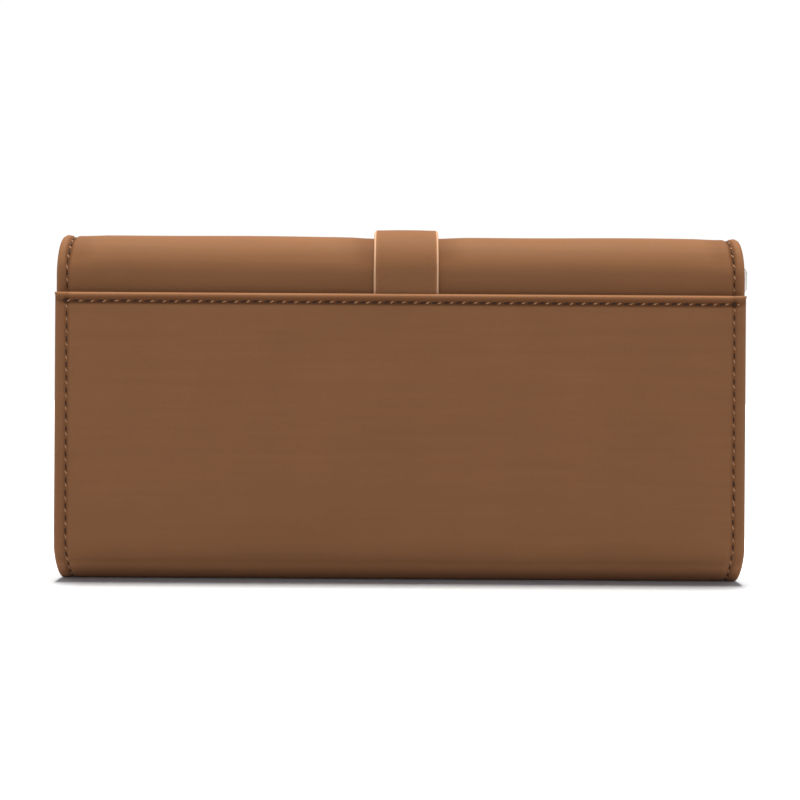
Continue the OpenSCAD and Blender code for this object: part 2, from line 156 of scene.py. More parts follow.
class Path:
    """A dense line in a plane, asked for places and normals by its length."""

    def __init__(self, parts, side=1):
        pts = np.vstack(parts)
        keep = np.r_[True, np.linalg.norm(np.diff(pts, axis=0), axis=1) > 1e-6]
        self.pts = pts[keep]
        step = np.linalg.norm(np.diff(self.pts, axis=0), axis=1)
        self.s = np.r_[0, np.cumsum(step)]
        self.length = self.s[-1]
        tangent = np.gradient(self.pts, self.s, axis=0)
        tangent /= np.linalg.norm(tangent, axis=1)[:, None]
        self.tangents = tangent
        self.normals = side * np.stack([-tangent[:, 1], tangent[:, 0]], 1)

    def _read(self, table, s):
        return np.stack([np.interp(s, self.s, table[:, k]) for k in (0, 1)], -1)

    def at(self, s):
        """Points and unit normals at lengths s; past an end the line runs straight on."""
        s = np.asarray(s, float)
        p = self._read(self.pts, s)
        over = np.maximum(s - self.length, 0) + np.minimum(s, 0)
        p = p + over[..., None] * self._read(self.tangents, s)
        n = self._read(self.normals, s)
        return p, n / np.linalg.norm(n, axis=-1, keepdims=True)

    def along(self, s):
        """Unit tangents at lengths s."""
        t = self._read(self.tangents, np.asarray(s, float))
        return t / np.linalg.norm(t, axis=-1, keepdims=True)


BACK_Y = ROLL_Y - ROLL_R
SHELL = Path([
    line((BACK_Y, BACK_BOTTOM), (BACK_Y, ROLL_Z)),
    arc((ROLL_Y, ROLL_Z), ROLL_R, 180, 0),
    line((ROLL_Y + ROLL_R, ROLL_Z), (ROLL_Y + ROLL_R, FLAP_BOTTOM)),
])
FRONT_Y = PANEL_HIGH[1]


def flat_angle(r, cut):
    """Angle below the horizontal at which a rounded corner meets the flat base."""
    return math.degrees(math.asin((r - cut) / r))


def base_path():
    """The outer face of the outer panel, from the pocket's top edge to the front's."""
    back_y, back_z = PANEL_LOW[1] + BASE_BACK_R, BASE_BACK_R - BASE_FLAT
    front_y, front_z = FRONT_Y - BASE_FRONT_R, BASE_FRONT_R - BASE_FRONT_FLAT
    a = flat_angle(BASE_BACK_R, BASE_FLAT)
    b = flat_angle(BASE_FRONT_R, BASE_FRONT_FLAT)
    back = arc((back_y, back_z), BASE_BACK_R, 180, 180 + a)
    front = arc((front_y, front_z), BASE_FRONT_R, -b, 0)
    return Path([
        line((PANEL_LOW[1], POCKET_TOP), (PANEL_LOW[1], back_z)), back,
        line(back[-1], front[0]), front,
        line((FRONT_Y, front_z), (FRONT_Y, FRONT_TOP)),
    ], side=-1)


PANEL = base_path()


def shell_s(angle):
    """Length along SHELL at an angle of the roll."""
    return ROLL_Z - BACK_BOTTOM + ROLL_R * math.radians(180 - angle)


# ---- meshes ----

EDGE_STEPS = [0, 0.05, 0.14, 0.28, 0.45, 0.65, 0.9, 1.2, 1.55, 1.9, 2.25, 2.6, 2.85,
              3.05, 3.22, 3.4, 3.58, 3.75, 3.95, 4.25, 4.7, 5.4, 6.4, 8.0]
JOIN_STEPS = [0, 0.1, 0.25, 0.5]


def put(name, data):
    """A new object in the scene."""
    obj = bpy.data.objects.new(name, data)
    bpy.context.scene.collection.objects.link(obj)
    return obj


def put_smooth(name, mesh, sharp):
    """A new smooth shaded object, with its edges sharp past an angle in degrees."""
    mesh.polygons.foreach_set("use_smooth", [True] * len(mesh.polygons))
    mesh.set_sharp_from_angle(angle=math.radians(sharp))
    mesh.update()
    return put(name, mesh)


def make_mesh(name, verts, faces, materials, attributes=None, face_materials=None, sharp=40):
    """A smooth shaded mesh object from millimetre points."""
    mesh = bpy.data.meshes.new(name)
    mesh.from_pydata((np.asarray(verts) * MM).tolist(), [], [list(map(int, f)) for f in faces])
    for key, values in (attributes or {}).items():
        layer = mesh.attributes.new(key, "FLOAT", "POINT")
        layer.data.foreach_set("value", np.asarray(values, np.float32))
    for m in materials:
        mesh.materials.append(m)
    if face_materials is not None:
        mesh.polygons.foreach_set("material_index", np.asarray(face_materials, np.int32))
    bm = bmesh.new()
    bm.from_mesh(mesh)
    bmesh.ops.remove_doubles(bm, verts=bm.verts, dist=2e-7)
    bmesh.ops.dissolve_degenerate(bm, edges=bm.edges, dist=1e-8)
    bmesh.ops.recalc_face_normals(bm, faces=bm.faces)
    bm.to_mesh(mesh)
    bm.free()
    return put_smooth(name, mesh, sharp)


def two_faces(rows, cols):
    """Index grid and quads of two equal point grids, the second one turned to face away."""
    index = np.arange(rows * cols).reshape(rows, cols)
    quads = np.stack([index[:-1, :-1], index[:-1, 1:], index[1:, 1:], index[1:, :-1]], -1)
    quads = quads.reshape(-1, 4)
    return index, quads.tolist() + (quads[:, ::-1] + rows * cols).tolist()


def rows_between(s0, s1, free, corner, step):
    """Lengths of a sheet's rows: close together at its ends and round its corners."""
    rows = set(np.linspace(s0, s1, max(2, int((s1 - s0) / step) + 1)))
    half = (s1 - s0) / 2
    for end, sign, is_free, r in ((s0, 1, free[0], corner[0]), (s1, -1, free[1], corner[1])):
        steps = EDGE_STEPS if is_free else JOIN_STEPS
        rows |= {end + sign * e for e in steps if e < half}
        if r:
            angles = np.radians(np.arange(0, 91, 5))
            rows |= {end + sign * r * (1 - math.cos(a)) for a in angles}
    rows = sorted(rows)
    kept = [rows[0]]
    for s in rows[1:-1]:
        if s - kept[-1] > 0.035 and rows[-1] - s > 0.035:
            kept.append(s)
    return np.array(kept + [rows[-1]])


def outline_distance(x, s, half, s0, s1, free, corner):
    """Distance inside a rounded rectangle whose joined ends run on for ever."""
    low = s0 if free[0] else s0 - 1e3
    high = s1 if free[1] else s1 + 1e3
    mid, half_s = (low + high) / 2, (high - low) / 2
    r = np.where(s > mid, corner[1], corner[0])
    qx = np.abs(x) - half + r
    qs = np.abs(s - mid) - half_s + r
    outside = np.hypot(np.maximum(qx, 0), np.maximum(qs, 0))
    return -(outside + np.minimum(np.maximum(qx, qs), 0) - r)


def sheet(name, path, s0, s1, half, top, thick, material, x=0.0, free=(True, True),
          corner=(0, 0), step=1.2, relief=None, extra=None, mid_step=4.0, painted_shading=None):
    """A closed sheet of leather or cloth that follows a path.
    top is how far its outer face stands outside the path. relief(x, s, d) raises that face
    and extra(x, s, d) thickens it inwards, where d is the distance to the free outline.
    The last argument, a function of (x, s), paints shade on the leather as a dip of that many
    millimetres would, and paints light where it is well below zero."""
    rows = rows_between(s0, s1, free, corner, step)
    width = np.full(rows.shape, float(half))
    for end, sign, r in ((s0, 1, corner[0]), (s1, -1, corner[1])):
        if r:
            gap = np.clip(sign * (rows - end), 0, r)
            width = np.minimum(width, half - r + np.sqrt(np.maximum(r * r - (r - gap) ** 2, 0)))
    steps = [e for e in EDGE_STEPS if e < 0.7 * half]
    n_mid = max(2, int(2 * (half - steps[-1]) / mid_step))
    share = np.linspace(-1, 1, n_mid + 1)[1:-1]
    cols = []
    for w in width:
        e = np.array(steps) * min(1.0, w / (1.25 * steps[-1]))
        inner = w - e[-1]
        cols.append(np.r_[-(w - e), inner * share, (w - e)[::-1]])
    xs = np.array(cols)
    ss = np.repeat(rows[:, None], xs.shape[1], 1)
    d = np.maximum(outline_distance(xs, ss, half, s0, s1, free, corner), 0)
    t = thick + (extra(xs, ss, d) if extra else 0)
    h = relief(xs, ss, d) if relief else 0
    q = np.clip(d / (t / 2), 0, 1)
    drop = t / 2 * (1 - np.sqrt(np.maximum(1 - (1 - q) ** 2, 0)))
    outer = top + h * q - drop
    inner = top - t + drop
    p, n = path.at(rows)

    def place(offset):
        yz = p[:, None, :] + n[:, None, :] * offset[..., None]
        return np.concatenate([(xs + x)[..., None], yz], -1).reshape(-1, 3)

    nr, nc = xs.shape
    verts = np.vstack([place(outer), place(inner)])
    index, faces = two_faces(nr, nc)
    under = index + nr * nc
    for row, is_free in ((0, free[0]), (nr - 1, free[1])):
        if not is_free:
            faces += [[index[row, k], index[row, k + 1], under[row, k + 1], under[row, k]]
                      for k in range(nc - 1)]
    edge = np.tile(np.minimum(d, 12).ravel(), 2)
    # low is the raised height less the painted shading; the leather paints shade where it is low
    # and light where it is high
    dip = np.broadcast_to(h, d.shape) - (painted_shading(xs, ss) if painted_shading else 0)
    low = np.tile(dip.ravel(), 2)
    return make_mesh(name, verts, faces, [material], {"edge": edge, "low": low})


def ellipsoid(n_long=8, n_round=8):
    """Unit sphere points and faces, long axis x."""
    verts, faces = [], []
    for i in range(n_long + 1):
        a = math.pi * i / n_long
        for k in range(n_round):
            b = 2 * math.pi * k / n_round
            verts.append((-math.cos(a), math.sin(a) * math.cos(b), math.sin(a) * math.sin(b)))
    for i in range(n_long):
        for k in range(n_round):
            m = (k + 1) % n_round
            faces.append((i * n_round + k, i * n_round + m,
                          (i + 1) * n_round + m, (i + 1) * n_round + k))
    return np.array(verts), np.array(faces)


BEAD_VERTS, BEAD_FACES = ellipsoid()


def stitches(name, path, run, top, materials, x=0.0, pitch=STITCH_PITCH, limits=None,
             scale=1.0, slant=28.0):
    """Lock stitches along a run in a sheet's own (x, s) plane: for each one a dark bead, painted
    shade where the needle hole's shadow falls, and a length of thread that slants out of it.
    limits keeps the s values of one piece."""
    count = max(1, int(round(run.length / pitch)))
    at = (np.arange(count) + 0.5) * run.length / count
    places, _ = run.at(at)
    heading = run.along(at)
    depth = top if callable(top) else (lambda s: top)
    verts, faces, mats = [], [], []
    for (px, ps), (tx, ts) in zip(places, heading):
        if limits and not limits[0] <= ps < limits[1]:
            continue
        p, n = path.at(ps)
        t = path.along(ps)
        normal = np.array([0, n[0], n[1]])
        on = tx * np.array([1.0, 0, 0]) + ts * np.array([0, t[0], t[1]])
        side = np.cross(normal, on)
        wobble = math.sin(7.3 * px + 3.1 * ps)
        centre = np.array([px + x, p[0], p[1]]) + normal * depth(ps) + side * 0.07 * wobble
        a = math.radians(slant + 9 * math.sin(5.1 * px + 2.3 * ps))
        thread_on = on * math.cos(a) + side * math.sin(a)
        thread_side = np.cross(normal, thread_on)
        b = a * 0.3
        hole_on = on * math.cos(b) + side * math.sin(b)
        hole_side = np.cross(normal, hole_on)
        bits = (
            # the first bead is painted shade: a near-black body where the needle hole's shadow
            # falls
            (centre - on * 0.16 * pitch, hole_on, hole_side, (0.82, 0.27, 0.1), 1),
            (centre + on * 0.27 * pitch + normal * 0.04, thread_on, thread_side,
             (0.55, 0.17, 0.13), 0),
        )
        for c, u, v, (a_len, b_len, c_len), m in bits:
            base = sum(len(b) for b in verts)
            shape = BEAD_VERTS * np.array([a_len, b_len, c_len]) * scale
            verts.append(c + shape @ np.array([u, v, normal]))
            faces.append(BEAD_FACES + base)
            mats.append(np.full(len(BEAD_FACES), m))
    return make_mesh(name, np.vstack(verts), np.vstack(faces), materials,
                     face_materials=np.concatenate(mats), sharp=80)


# ---- materials ----

class Shader:
    """A node material with a Principled shader, and short calls that add nodes to it."""

    def __init__(self, name):
        self.mat = bpy.data.materials.new(name)
        self.mat.use_nodes = True
        self.nodes = self.mat.node_tree.nodes
        self.link = self.mat.node_tree.links.new
        self.nodes.clear()
        out = self.nodes.new("ShaderNodeOutputMaterial")
        self.bsdf = self.nodes.new("ShaderNodeBsdfPrincipled")
        self.link(self.bsdf.outputs["BSDF"], out.inputs["Surface"])

    def add(self, kind, **values):
        """A node with its inputs and settings."""
        node = self.nodes.new("ShaderNode" + kind)
        for key, value in values.items():
            if key in node.inputs:
                node.inputs[key].default_value = value
            else:
                setattr(node, key, value)
        return node

    def feed(self, sockets, values):
        """Links each value that is a socket, and writes the others into their sockets."""
        for socket, value in zip(sockets, values):
            if isinstance(value, bpy.types.NodeSocket):
                self.link(value, socket)
            else:
                socket.default_value = (*value, 1) if isinstance(value, tuple) else value

    def set(self, **values):
        """Feeds the Principled shader's inputs; an underscore stands for a space."""
        for key, value in values.items():
            self.feed([self.bsdf.inputs[key.replace("_", " ")]], [value])

    def coordinates(self, scale=(1, 1, 1)):
        """Object coordinates in millimetres, stretched by scale."""
        mapping = self.add("Mapping")
        mapping.inputs["Scale"].default_value = [1 / MM * v for v in scale]
        self.link(self.add("TexCoord").outputs["Object"], mapping.inputs["Vector"])
        return mapping.outputs["Vector"]

    def texture(self, at, kind, output="Fac", **values):
        """A texture at the coordinates at."""
        node = self.add("Tex" + kind, **values)
        self.link(at, node.inputs["Vector"])
        return node.outputs[output]

    def mix(self, kind, fac, a, b):
        """Mixes two colours; fac, a and b are sockets or values."""
        node = self.add("Mix", data_type="RGBA", blend_type=kind)
        self.feed((node.inputs[0], node.inputs[6], node.inputs[7]), (fac, a, b))
        return node.outputs[2]

    def maths(self, operation, a, b=0.0):
        """One math node; a and b are sockets or values."""
        node = self.add("Math", operation=operation)
        self.feed(node.inputs, (a, b))
        return node.outputs[0]

    def remap(self, source, low, high, to_low=0.0, to_high=1.0):
        """A clamped map of source from low..high to to_low..to_high."""
        node = self.add("MapRange")
        self.feed(node.inputs, (source, low, high, to_low, to_high))
        return node.outputs[0]

    def bump(self, height, strength, distance, over=None):
        """Lets height raise the surface by up to distance, on top of another bump."""
        node = self.add("Bump", Strength=strength, Distance=distance)
        self.link(height, node.inputs["Height"])
        if over:
            self.link(over, node.inputs["Normal"])
        self.link(node.outputs["Normal"], self.bsdf.inputs["Normal"])
        return node.outputs["Normal"]


def leather_material(name, colour, light, dark, roughness=0.66, grain=0.04, painted=None):
    """Smooth nappa: fine pebble grain, faint drawn streaks, paler rims, painted shade in grooves,
    dips and the hem band, and painted light on the base's bend.
    painted is the colour of the painted edge of a cut strap."""
    sh = Shader(name)
    at = sh.coordinates()
    cloud = sh.texture(at, "Noise", Scale=0.035, Detail=4.0, Roughness=0.55)
    drawn = sh.coordinates((0.05, 1, 1))
    streak = sh.texture(drawn, "Noise", Scale=0.55, Detail=3.0, Roughness=0.5)
    pores = sh.texture(at, "Voronoi", "Distance", Scale=2.1, feature="DISTANCE_TO_EDGE")
    fine = sh.texture(at, "Noise", Scale=5.5, Detail=3.0, Roughness=0.6)
    base = sh.mix("MIX", sh.remap(cloud, 0.3, 0.7), dark, colour)
    base = sh.mix("MIX", sh.remap(streak, 0.35, 0.75, 0, 0.12), base, light)
    pore_shade = sh.remap(pores, 0.0, 0.09, 0.35, 0.0)
    base = sh.mix("MULTIPLY", pore_shade, base, (0.72, 0.66, 0.6))
    edge = sh.add("Attribute", attribute_name="edge").outputs["Fac"]
    low = sh.add("Attribute", attribute_name="low").outputs["Fac"]
    wear_noise = sh.texture(at, "Noise", Scale=0.9, Detail=3.0)
    rim = sh.remap(edge, 0.0, 1.6, 0.5, 0.0)
    rim = sh.maths("MULTIPLY", rim, sh.remap(wear_noise, 0.3, 0.7, 0.55, 1.0))
    base = sh.mix("MIX", rim, base, light)
    # painted shade and painted light, read from the low attribute
    for kind, start, full, amount, tone in (
            ("MULTIPLY", -0.04, -0.3, 0.42, (0.55, 0.45, 0.38)),    # painted shade in grooves, stitch channels and the strap's dent
            ("MULTIPLY", -0.3, -0.8, 0.6, (0.6, 0.52, 0.46)),       # painted shade on the hem band below the pocket's edge
            ("MIX", 1.0, 2.0, 0.9, light)):                         # painted light from the lit floor on the base's bend
        base = sh.mix(kind, sh.remap(low, start, full, 0.0, amount), base, tone)
    if painted:
        paint = sh.remap(edge, 0.5, 0.62, 1.0, 0.0)
        base = sh.mix("MIX", paint, base, painted)
    rough = sh.remap(cloud, 0.3, 0.7, roughness - 0.04, roughness + 0.05)
    rough = sh.maths("ADD", rough, sh.remap(fine, 0.3, 0.7, -0.03, 0.03))
    sh.set(Base_Color=base, Roughness=rough, IOR=1.3, Specular_IOR_Level=0.1)
    height = sh.remap(pores, 0, 0.16, 0, 0.7)
    height = sh.maths("ADD", height, sh.maths("MULTIPLY", fine, 0.45))
    pebbles = sh.bump(height, 0.35, grain * MM)
    sh.bump(streak, 0.35, 0.06 * MM, over=pebbles)
    return sh.mat


def woven_material(name, colour, dark, pitch=0.42, roughness=0.75, twill=False):
    """A plain weave, or a twill with twill=True, with thread-to-thread variation."""
    sh = Shader(name)
    at = sh.coordinates()
    split = sh.add("SeparateXYZ")
    sh.link(at, split.inputs[0])
    upright = sh.maths("ADD", split.outputs["Z"], split.outputs["Y"])
    if twill:
        zig = sh.maths("PINGPONG", upright, pitch * 3.5)
        across = sh.maths("ADD", split.outputs["X"], zig)
        across = sh.maths("MULTIPLY", across, 2 * math.pi / (pitch * 1.4))
        weave = sh.maths("SINE", across)
    else:
        across = sh.maths("MULTIPLY", split.outputs["X"], 2 * math.pi / pitch)
        up = sh.maths("MULTIPLY", upright, 2 * math.pi / pitch)
        weave = sh.maths("MULTIPLY", sh.maths("SINE", across), sh.maths("SINE", up))
    slub = sh.texture(at, "Noise", Scale=0.8, Detail=4.0)
    cloud = sh.texture(at, "Noise", Scale=0.05, Detail=3.0)
    shade = sh.remap(weave, -1, 1, 0.75, 0.0)
    base = sh.mix("MIX", shade, colour, dark)
    base = sh.mix("MULTIPLY", sh.remap(slub, 0.35, 0.7, 0, 0.35), base, (0.75, 0.72, 0.68))
    base = sh.mix("MULTIPLY", sh.remap(cloud, 0.35, 0.65, 0, 0.3), base, (0.8, 0.78, 0.76))
    rough = sh.remap(slub, 0.3, 0.7, roughness - 0.06, roughness + 0.1)
    sh.set(Base_Color=base, Roughness=rough, Sheen_Weight=0.25, Sheen_Roughness=0.5)
    sh.bump(weave, 0.6, 0.06 * MM)
    return sh.mat


def metal_material(name, colour, roughness=0.2):
    """Polished nickel plate with faint smudges and hairlines."""
    sh = Shader(name)
    at = sh.coordinates()
    smudge = sh.texture(at, "Noise", Scale=0.35, Detail=4.0)
    hair = sh.texture(sh.coordinates((0.15, 1, 1)), "Noise", Scale=9.0, Detail=2.0)
    smudged = tuple(0.86 * v for v in colour)
    tint = sh.mix("MIX", sh.remap(smudge, 0.35, 0.7, 0, 0.5), colour, smudged)
    rough = sh.remap(smudge, 0.3, 0.7, roughness - 0.06, roughness + 0.1)
    rough = sh.maths("ADD", rough, sh.remap(hair, 0.4, 0.7, 0, 0.08))
    sh.set(Base_Color=tint, Metallic=1.0, Roughness=rough)
    sh.bump(hair, 0.12, 0.02 * MM)
    return sh.mat


def thread_material(name, colour, roughness=0.6):
    """Twisted sewing thread: fine bright and dark strands."""
    sh = Shader(name)
    at = sh.coordinates()
    twist = sh.texture(at, "Wave", Scale=1.6, Distortion=1.2, bands_direction="DIAGONAL")
    dark = tuple(0.6 * v for v in colour)
    sh.set(Base_Color=sh.mix("MIX", twist, dark, colour),
           Roughness=sh.remap(twist, 0, 1, roughness, roughness + 0.15))
    sh.bump(twist, 0.5, 0.05 * MM)
    return sh.mat


def fibre_material(name, colour, speck, scale=1.2, roughness=0.85, depth=0.05):
    """Pressed board or foam: specks and a soft uneven surface."""
    sh = Shader(name)
    at = sh.coordinates()
    noise = sh.texture(at, "Noise", Scale=scale, Detail=6.0, Roughness=0.7)
    cells = sh.texture(at, "Voronoi", "Distance", Scale=scale * 1.7)
    sh.set(Base_Color=sh.mix("MIX", sh.remap(noise, 0.4, 0.65), colour, speck),
           Roughness=sh.remap(cells, 0, 0.6, roughness, roughness - 0.1))
    sh.bump(noise, 0.6, depth * MM)
    return sh.mat


TAN = (0.177, 0.0805, 0.0375)
TAN_LIGHT = (0.25, 0.1145, 0.0555)
TAN_DARK = (0.166, 0.0752, 0.0348)
LEATHER_MAT = leather_material("tan_leather", TAN, TAN_LIGHT, TAN_DARK)
STRAP_MAT = leather_material("strap_leather", TAN, TAN_LIGHT, TAN_DARK, painted=(0.5, 0.3, 0.19))
SLOT_MAT = leather_material("slot_leather", (0.25, 0.12, 0.06), TAN_LIGHT, (0.2, 0.09, 0.045),
                            roughness=0.48)
LINING_MAT = woven_material("lining_cloth", (0.33, 0.2, 0.11), (0.2, 0.115, 0.06))
TAPE_MAT = woven_material("zip_tape", (0.2, 0.1, 0.05), (0.09, 0.042, 0.02), pitch=0.5, twill=True)
METAL_MAT = metal_material("nickel", (0.56, 0.52, 0.51), roughness=0.24)
THREAD_MAT = thread_material("thread", (0.4, 0.21, 0.11), roughness=0.75)
# painted shade: a near-black material for the beads that stand where the needle holes' shadow
# falls
HOLE_SHADE_MAT = thread_material("stitch_hole_shade", (0.036, 0.012, 0.004), roughness=0.95)
SEAM_MATS = [THREAD_MAT, HOLE_SHADE_MAT]
BOARD_MAT = fibre_material("board", (0.5, 0.42, 0.31), (0.36, 0.28, 0.19))
FOAM_MAT = fibre_material("foam", (0.62, 0.58, 0.5), (0.5, 0.46, 0.38), scale=2.4, depth=0.1)


# ---- the leather shell: back, roll and flap in one run ----

RIM = [(0, 0), (0.9, 0.24), (2.1, 0.16), (3.4, -0.34), (4.7, 0.05), (7.5, 0)]
SHELL_RIM = [(0, 0), (0.8, 0.24), (1.8, 0.14), (2.9, -0.34), (4.2, 0.06), (7.5, 0)]
HEM = [(0, 0), (0.5, 0.4), (2.35, -0.58), (3.5, 0.03), (6.0, 0)]


def waviness(x, s, amount=0.09):
    """The slow unevenness of soft leather over its filling."""
    return amount * (np.sin(x / 19 + 1.3) * np.sin(s / 23 + 0.4)
                     + 0.6 * np.sin(x / 8.3 + s / 31) * np.sin(s / 11 + 2.1))


def pull(x, s):
    """How the needle holes of a seam pull the leather down once a stitch."""
    return 0.5 + 0.5 * np.cos(2 * math.pi * s / STITCH_PITCH)


def on_the_roll(s):
    """1 on the padded roll, 0 on the flat back and flap."""
    return smooth((s - shell_s(175)) / 6) * smooth((shell_s(5) - s) / 6)


def shell_relief(x, s, d):
    """Puffed rims, stitch channels, the strap's dent and slow unevenness of the outer face."""
    on_roll = on_the_roll(s)
    seam = profile(d, SHELL_RIM) * (1 + 0.5 * on_roll)
    hole = np.exp(-((d - SHELL_INSET) / 0.5) ** 2) * pull(x, s) * -0.07
    ends = -0.3 * on_roll * smooth(1 - (FLAP_HALF - np.abs(x) - 3) / 10)
    press = -0.38 * np.exp(-((x - STRAP_X) / (STRAP_HALF + 4.5)) ** 6) * on_roll
    return seam + hole + ends + press + waviness(x, s) * smooth((d - 3) / 6)


# Each fold: the bodies on its two sides, and where the bend starts and ends, in metres.
REAR = ("body", "roll_rear", (0, BACK_Y * MM, FOLD_LOW * MM), (0, BACK_Y * MM, FOLD_HIGH * MM))
TOP = ("roll_rear", "roll_front", (0, (ROLL_Y - FOLD_HALF) * MM, ROLL_TOP * MM),
       (0, (ROLL_Y + FOLD_HALF) * MM, ROLL_TOP * MM))
FRONT = ("roll_front", "flap", (0, FLAP_HIGH[1] * MM, FOLD_HIGH * MM),
         (0, FLAP_HIGH[1] * MM, FOLD_LOW * MM))
SPLIT_REAR, SPLIT_FRONT = shell_s(REAR_CUT), shell_s(FRONT_CUT)
SHELL_END = SHELL.length


def bend(obj, slot, fold, *nodes):
    """Bakes a piece's placement into its mesh and hides the nodes that it replaces. slot and fold
    are not used.
    """
    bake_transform(obj)
    if nodes:
        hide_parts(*nodes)


def shell_layers():
    """Leather, stiffening and lining of the back, the roll and the flap."""
    spans = (
        ("back", 0.0, SPLIT_REAR, (True, False), (0, 0), REAR,
         ("back_panel",), ("back_board",), ("back_lining",)),
        ("roll", SPLIT_REAR, SPLIT_FRONT, (False, False), (0, 0), TOP,
         ("roll_leather_rear", "roll_leather_front"), ("roll_foam_rear", "roll_foam_front"),
         ("roll_lining_rear", "roll_lining_front")),
        ("flap", SPLIT_FRONT, SHELL_END, (False, True), (0, FLAP_CORNER), FRONT,
         ("flap_leather",), ("flap_board",), ("flap_lining",)),
    )
    for name, s0, s1, free, corner, fold, leather_nodes, core_nodes, lining_nodes in spans:
        skin = sheet(f"{name}_skin", SHELL, s0, s1, FLAP_HALF, 0, LEATHER, LEATHER_MAT,
                     free=free, corner=corner, step=0.7 if name == "roll" else 0.9,
                     relief=shell_relief,
                     extra=lambda x, s, d: BOARD * smooth((2.0 - d) / 0.5) * smooth(d / 0.8))
        bend(skin, "leather", fold, *leather_nodes)
        a, b = s0 + LINING_INSET * free[0], s1 - LINING_INSET * free[1]
        half = FLAP_HALF - LINING_INSET
        lining = sheet(f"{name}_lining_cloth", SHELL, a, b, half, -LEATHER - BOARD, LINING,
                       LINING_MAT, free=free, step=1.6,
                       corner=(0, corner[1] - LINING_INSET if corner[1] else 0))
        bend(lining, "lining", fold, *lining_nodes)
        core_stretches(name, s0, s1, fold, core_nodes)


def core_stretches(name, s0, s1, fold, nodes):
    """The board of a panel, or the foam of the roll, inside one stretch of the shell."""
    rear_end, front_end = shell_s(180 - BOARD_END), shell_s(BOARD_END)
    board_ends = {"back": (s0 + 2, rear_end), "flap": (front_end, s1 - 2)}
    foam_ends = {"back": (rear_end, s1), "roll": (s0, s1), "flap": (s0, front_end)}
    half = FLAP_HALF - CORE_INSET
    if name in board_ends:
        a, b = board_ends[name]
        r = FLAP_CORNER - 2 if name == "flap" else 0
        board = sheet(f"{name}_stiffener", SHELL, a, b, half, -LEATHER, BOARD, BOARD_MAT,
                      corner=(0, r), step=2.5, mid_step=12)
        bend(board, "board", fold, *nodes)
    a, b = foam_ends[name]
    foam_free = (name == "back", name == "flap")
    foam = sheet(f"{name}_foam", SHELL, a, b, half, -LEATHER, BOARD, FOAM_MAT,
                 free=foam_free, step=1.6, mid_step=12)
    bend(foam, "foam", fold, *(nodes if name == "roll" else ()))


def shell_stitches():
    """The seam down both sides and round the flap's lower corners."""
    inset = SHELL_INSET
    r = FLAP_CORNER - inset
    x = FLAP_HALF - inset
    end = SHELL_END - inset
    run = Path([
        line((-x, 0), (-x, end - r)), arc((r - x, end - r), r, 180, 90, 4),
        line((r - x, end), (x - r, end)), arc((x - r, end - r), r, 90, 0, 4),
        line((x, end - r), (x, 0)),
    ])
    start = POCKET_TOP - BACK_BOTTOM - 6
    for name, low, high, fold in (("back", start, SPLIT_REAR, REAR),
                                  ("roll", SPLIT_REAR, SPLIT_FRONT, TOP),
                                  ("flap", SPLIT_FRONT, SHELL_END, FRONT)):
        seam = stitches(f"{name}_seam", SHELL, run, lambda s: -0.36 - 0.34 * on_the_roll(s),
                        SEAM_MATS, limits=(low, high))
        bend(seam, "leather", fold)


# ---- the outer panel: slip pocket, base and front wall ----

def panel_relief(x, s, d):
    """Rims and stitch channel at the sides, hems at the two ends."""
    side = PANEL_HALF - np.abs(x)
    seam = profile(side, RIM)
    holes = np.exp(-((side - STITCH_INSET) / 0.5) ** 2) * pull(x, s) * -0.07
    hem = profile(s, HEM) + profile(PANEL.length - s, HEM)
    hem_holes = np.exp(-((s - HEM_INSET) / 0.45) ** 2) * pull(s, x) * -0.07
    inside = smooth(side / 3.4)
    h = seam + holes + (hem + hem_holes) * inside
    h = h + waviness(x, s, 0.04) * smooth((side - 3) / 6)
    low = smooth((4.0 - PANEL.at(s)[0][..., 1]) / 3.0)
    return h * (1 - low) + np.minimum(h, 0) * low


def panel_painted_shading(x, s):
    """Painted shade between the turned hem's edge and its seam, where the hem faces down, and
    painted light where the base bends towards the lit floor.
    """
    # painted shade on the band below the pocket's edge, where the hem faces down
    hem = 0.62 * smooth((s - 0.6) / 0.5) * smooth((3.0 - s) / 0.7)
    bend_start = POCKET_TOP - BASE_BACK_R + BASE_FLAT
    # painted light where the base's bend faces the lit floor
    base_painted_light = smooth((s - bend_start - 6) / 6) * smooth((bend_start + 23 - s) / 4)
    return hem - 2 * base_painted_light


def panel_extra(x, s, d):
    """The sides of the slip pocket are turned in as far as the back panel."""
    side = PANEL_HALF - np.abs(x)
    on_back = smooth((PANEL_BACK_END - s) / 4) * smooth(s / 1.2)
    return 1.85 * on_back * smooth((3.2 - side) / 0.5)


PANEL_BACK_END = POCKET_TOP - 8.0


def outer_panel():
    """One sheet of leather from the pocket's top edge round the base to the front's."""
    skin = sheet("outer_panel_leather", PANEL, 0, PANEL.length, PANEL_HALF, 0, LEATHER,
                 LEATHER_MAT, step=0.9, relief=panel_relief, extra=panel_extra, mid_step=3,
                 painted_shading=panel_painted_shading)
    fit(skin, "leather", "body", "outer_panel")
    x = PANEL_HALF - STITCH_INSET
    runs = {
        "left_seam": line((-x, 1.2), (-x, PANEL.length - 1.2)),
        "right_seam": line((x, 1.2), (x, PANEL.length - 1.2)),
        "pocket_hem_seam": line((-PANEL_HALF + 1.4, HEM_INSET), (PANEL_HALF - 1.4, HEM_INSET)),
        "front_hem_seam": line((-x, PANEL.length - HEM_INSET), (x, PANEL.length - HEM_INSET)),
        "back_tack_seam": line((x + 0.35, POCKET_TOP - 29), (x + 0.35, POCKET_TOP - 21)),
    }
    for name, pts in runs.items():
        seam = stitches(f"panel_{name}", PANEL, Path([pts]), -0.36, SEAM_MATS,
                        pitch=3.3 if "hem" in name else STITCH_PITCH)
        fit(seam, "leather", "body")


# ---- inside: linings, gussets, pouch, card slots ----

